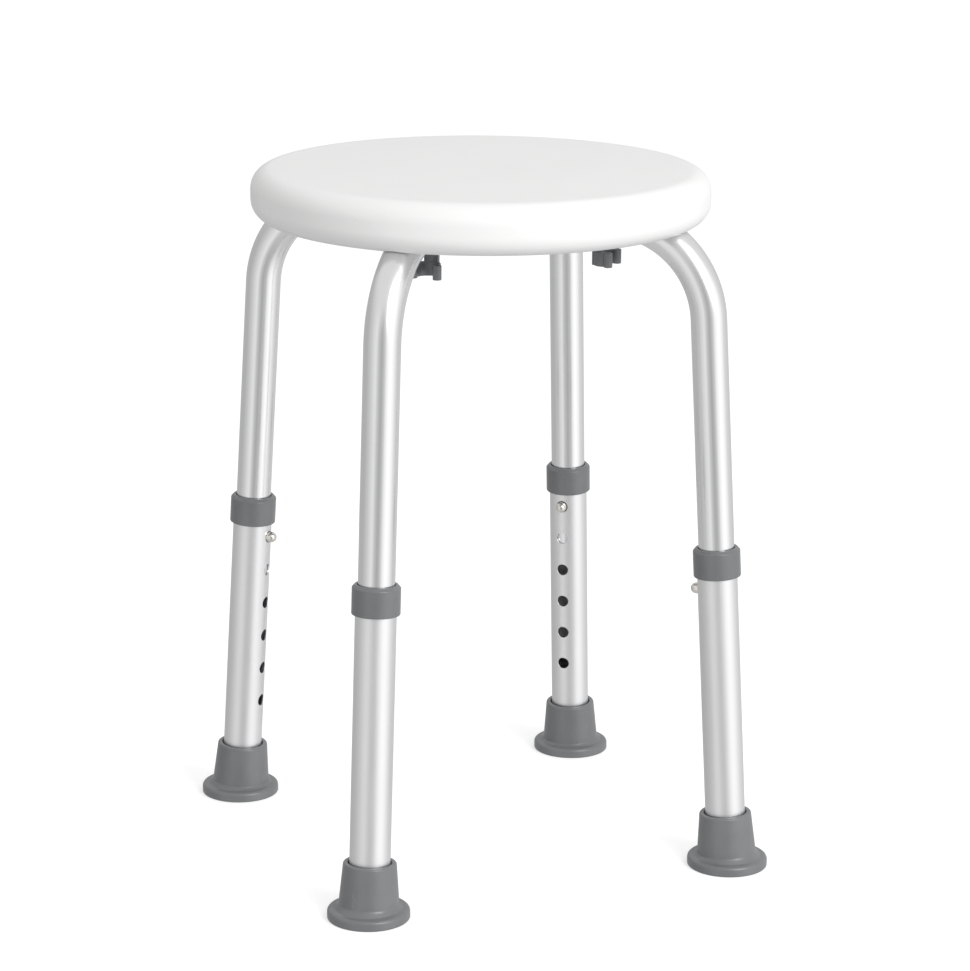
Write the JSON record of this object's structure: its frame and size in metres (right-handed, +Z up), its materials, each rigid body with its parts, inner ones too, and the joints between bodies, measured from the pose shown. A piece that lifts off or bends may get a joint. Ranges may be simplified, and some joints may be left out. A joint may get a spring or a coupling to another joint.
{
  "type": "shower stool",
  "caption": "Round shower stool with a moulded seat on splayed telescopic legs, snap buttons for the height and flanged rubber feet.",
  "frame": {"origin": "on the floor under the middle of the seat", "axes": "+Z up, -Y the front, which the two hose clips face; the legs stand on the diagonals"},
  "size_m": [0.328, 0.328, 0.485],
  "materials": {
    "seat": "white blow-moulded polyethylene, satin",
    "aluminium": "satin clear-anodised tube",
    "grey_plastic": "mid-grey moulded plastic, satin",
    "grey_rubber": "mid-grey moulded rubber, matt",
    "nickel": "nickel-plated, bright",
    "steel": "plain stainless"
  },
  "bodies": {
    "root": {"seat": "seat", "hub": "grey_plastic", "hub_screw": "steel", "upper_tube_front_left": "aluminium", "button_spring_front_left": "steel", "seat_screw_inner_front_left": "steel", "seat_screw_outer_front_left": "steel", "saddle_washer_inner_front_left": "grey_plastic", "hose_clip_front_left": "grey_plastic", "upper_tube_front_right": "aluminium", "button_spring_front_right": "steel", "seat_screw_inner_front_right": "steel", "seat_screw_outer_front_right": "steel", "saddle_washer_inner_front_right": "grey_plastic", "hose_clip_front_right": "grey_plastic", "upper_tube_rear_right": "aluminium", "button_spring_rear_right": "steel", "seat_screw_inner_rear_right": "steel", "seat_screw_outer_rear_right": "steel", "saddle_washer_inner_rear_right": "grey_plastic", "saddle_washer_outer_rear_right": "grey_plastic", "upper_tube_rear_left": "aluminium", "button_spring_rear_left": "steel", "seat_screw_inner_rear_left": "steel", "seat_screw_outer_rear_left": "steel", "saddle_washer_inner_rear_left": "grey_plastic", "saddle_washer_outer_rear_left": "grey_plastic"},
    "lower_leg_front_left": {"lower_tube_front_left": "aluminium", "collar_front_left": "grey_plastic", "foot_front_left": "grey_rubber", "foot_washer_front_left": "steel"},
    "button_front_left": {"snap_button_front_left": "nickel"},
    "lower_leg_front_right": {"lower_tube_front_right": "aluminium", "collar_front_right": "grey_plastic", "foot_front_right": "grey_rubber", "foot_washer_front_right": "steel"},
    "button_front_right": {"snap_button_front_right": "nickel"},
    "lower_leg_rear_right": {"lower_tube_rear_right": "aluminium", "collar_rear_right": "grey_plastic", "foot_rear_right": "grey_rubber", "foot_washer_rear_right": "steel"},
    "button_rear_right": {"snap_button_rear_right": "nickel"},
    "lower_leg_rear_left": {"lower_tube_rear_left": "aluminium", "collar_rear_left": "grey_plastic", "foot_rear_left": "grey_rubber", "foot_washer_rear_left": "steel"},
    "button_rear_left": {"snap_button_rear_left": "nickel"}
  },
  "joints": [
    {"name": "leg_slide_front_left", "type": "slide", "parent": "root", "child": "lower_leg_front_left", "axis": [0.0419, 0.0419, 0.9982], "range_m": [0, 0.127], "deforming": ["snap_button_front_left"]},
    {"name": "button_press_front_left", "type": "slide", "parent": "root", "child": "button_front_left", "axis": [-0.7059, -0.7059, 0.0593], "range_m": [0, 0.007], "stiffness_N_per_m": 1500, "springref_m": -0.001, "deforming": ["button_spring_front_left"]},
    {"name": "leg_slide_front_right", "type": "slide", "parent": "root", "child": "lower_leg_front_right", "axis": [-0.0419, 0.0419, 0.9982], "range_m": [0, 0.127], "deforming": ["snap_button_front_right"]},
    {"name": "button_press_front_right", "type": "slide", "parent": "root", "child": "button_front_right", "axis": [0.7059, -0.7059, 0.0593], "range_m": [0, 0.007], "stiffness_N_per_m": 1500, "springref_m": -0.001, "deforming": ["button_spring_front_right"]},
    {"name": "leg_slide_rear_right", "type": "slide", "parent": "root", "child": "lower_leg_rear_right", "axis": [-0.0419, -0.0419, 0.9982], "range_m": [0, 0.127], "deforming": ["snap_button_rear_right"]},
    {"name": "button_press_rear_right", "type": "slide", "parent": "root", "child": "button_rear_right", "axis": [0.7059, 0.7059, 0.0593], "range_m": [0, 0.007], "stiffness_N_per_m": 1500, "springref_m": -0.001, "deforming": ["button_spring_rear_right"]},
    {"name": "leg_slide_rear_left", "type": "slide", "parent": "root", "child": "lower_leg_rear_left", "axis": [0.0419, -0.0419, 0.9982], "range_m": [0, 0.127], "deforming": ["snap_button_rear_left"]},
    {"name": "button_press_rear_left", "type": "slide", "parent": "root", "child": "button_rear_left", "axis": [-0.7059, 0.7059, 0.0593], "range_m": [0, 0.007], "stiffness_N_per_m": 1500, "springref_m": -0.001, "deforming": ["button_spring_rear_left"]}
  ]
}
